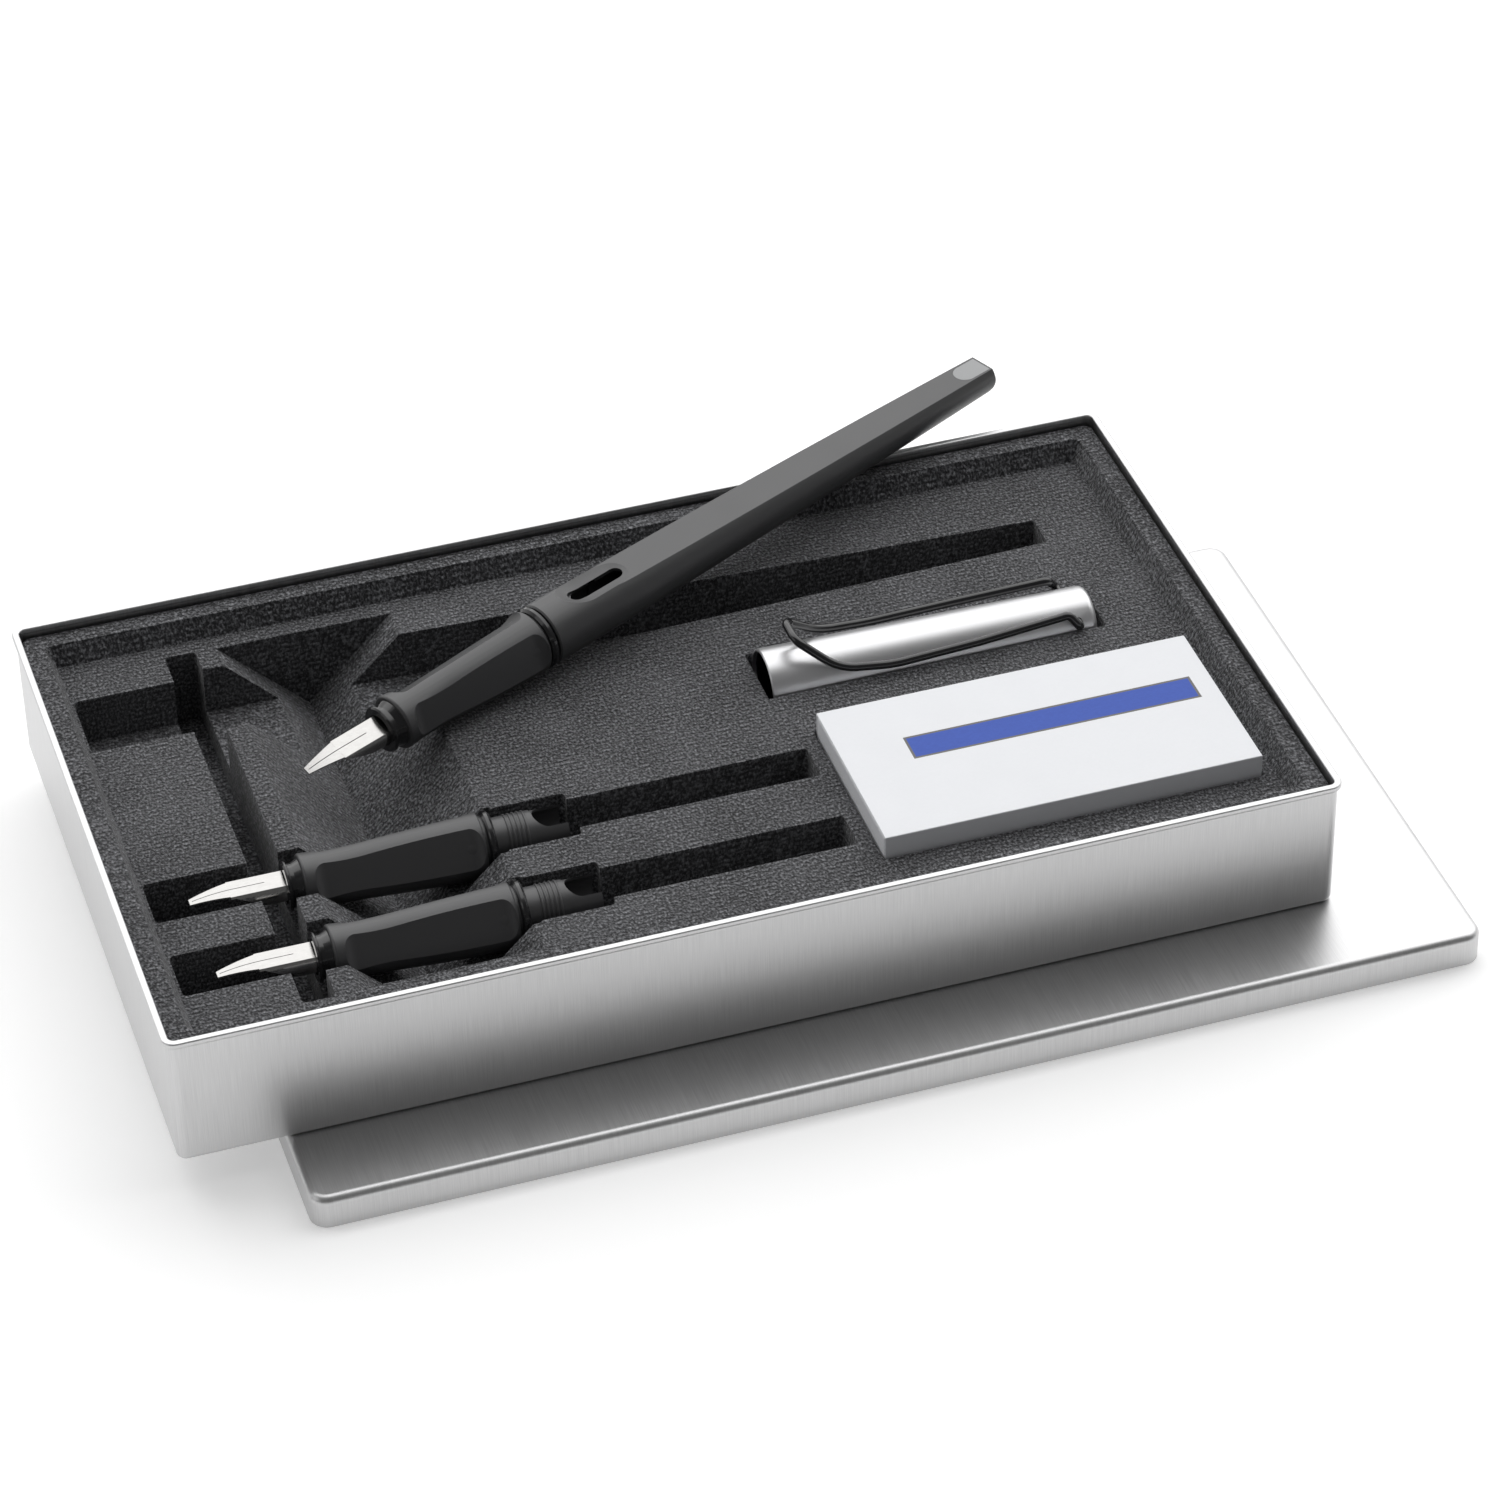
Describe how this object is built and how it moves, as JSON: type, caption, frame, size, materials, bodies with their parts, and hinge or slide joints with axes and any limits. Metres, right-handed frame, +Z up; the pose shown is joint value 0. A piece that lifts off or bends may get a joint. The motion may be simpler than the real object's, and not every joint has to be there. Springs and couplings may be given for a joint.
{
  "type": "calligraphy set box",
  "caption": "Flat metal gift tin on its own lid, with a flocked insert holding a calligraphy pen, its cap, spare nib sections and a carton of ink cartridges.",
  "frame": {"origin": "middle of the footprint of the whole set, on the table under the lid", "axes": "+X along the length of the tin, from the nib wells towards the carton; +Y towards its back; +Z up"},
  "size_m": [0.2474, 0.1622, 0.044],
  "materials": {
    "tin_metal": "brushed satin",
    "flock": "flocked",
    "pen_plastic": "satin",
    "black_gloss": "polished",
    "nib_steel": "polished",
    "feed_plastic": "moulded",
    "inlay_grey": "satin",
    "cap_silver": "pearl satin",
    "clip_black": "gloss enamel",
    "card": "coated card",
    "ink_blue": "clear over ink"
  },
  "bodies": {
    "lid": {"tin_lid": "tin_metal"},
    "tin": {"tin_base": "tin_metal"},
    "insert": {"insert_tray": "flock"},
    "pen": {"pen_barrel": "pen_plastic", "pen_tail_inlay": "inlay_grey"},
    "pen_ring": {"pen_seal_ring": "black_gloss"},
    "pen_section": {"pen_grip": "pen_plastic", "pen_collar": "black_gloss", "pen_nib": "nib_steel", "pen_feed": "feed_plastic"},
    "spare_1": {"spare_1_grip": "pen_plastic", "spare_1_collar": "black_gloss", "spare_1_seal_ring": "black_gloss", "spare_1_nib": "nib_steel", "spare_1_feed": "feed_plastic"},
    "spare_2": {"spare_2_grip": "pen_plastic", "spare_2_collar": "black_gloss", "spare_2_seal_ring": "black_gloss", "spare_2_nib": "nib_steel", "spare_2_feed": "feed_plastic"},
    "cap": {"cap_tube": "cap_silver", "cap_liner": "black_gloss", "cap_finial": "black_gloss"},
    "clip": {"cap_clip": "clip_black"},
    "carton": {"carton_sleeve": "card", "carton_end_left": "card", "carton_end_right": "card", "ink_cartridge_1": "ink_blue", "ink_cartridge_2": "ink_blue", "ink_cartridge_3": "ink_blue", "ink_cartridge_4": "ink_blue", "ink_cartridge_5": "ink_blue"}
  },
  "joints": [
    {"name": "tin_lift", "type": "slide", "parent": "lid", "child": "tin", "axis": [0, 0, 1], "range_m": [0, 0.06]},
    {"name": "insert_lift", "type": "slide", "parent": "tin", "child": "insert", "axis": [0, 0, 1], "range_m": [0, 0.045]},
    {"name": "pen_lift", "type": "slide", "parent": "insert", "child": "pen", "axis": [0, 0, 1], "range_m": [0, 0.08]},
    {"name": "section_out", "type": "slide", "parent": "pen", "child": "pen_ring", "axis": [-0.9124, -0.4062, -0.049], "range_m": [0, 0.0032]},
    {"name": "section_unscrew", "type": "hinge", "parent": "pen_ring", "child": "pen_section", "pos_m": [-0.02722, 0.02946, 0.03567], "axis": [-0.9124, -0.4062, -0.049], "range_deg": [0, 1440]},
    {"name": "cap_lift", "type": "slide", "parent": "insert", "child": "cap", "axis": [0, 0, 1], "range_m": [0, 0.05]},
    {"name": "clip_flex", "type": "hinge", "parent": "cap", "child": "clip", "pos_m": [0.07508, 0.01206, 0.0295], "axis": [0, 1, 0], "range_deg": [0, 5], "stiffness_Nm_per_rad": 3},
    {"name": "spare_1_lift", "type": "slide", "parent": "insert", "child": "spare_1", "axis": [0, 0, 1], "range_m": [0, 0.05]},
    {"name": "spare_2_lift", "type": "slide", "parent": "insert", "child": "spare_2", "axis": [0, 0, 1], "range_m": [0, 0.05]},
    {"name": "carton_lift", "type": "slide", "parent": "insert", "child": "carton", "axis": [0, 0, 1], "range_m": [0, 0.05]}
  ],
  "couplings": [
    {"joint": "section_out", "follows": "section_unscrew", "m_per_rad": 0.00012732}
  ]
}
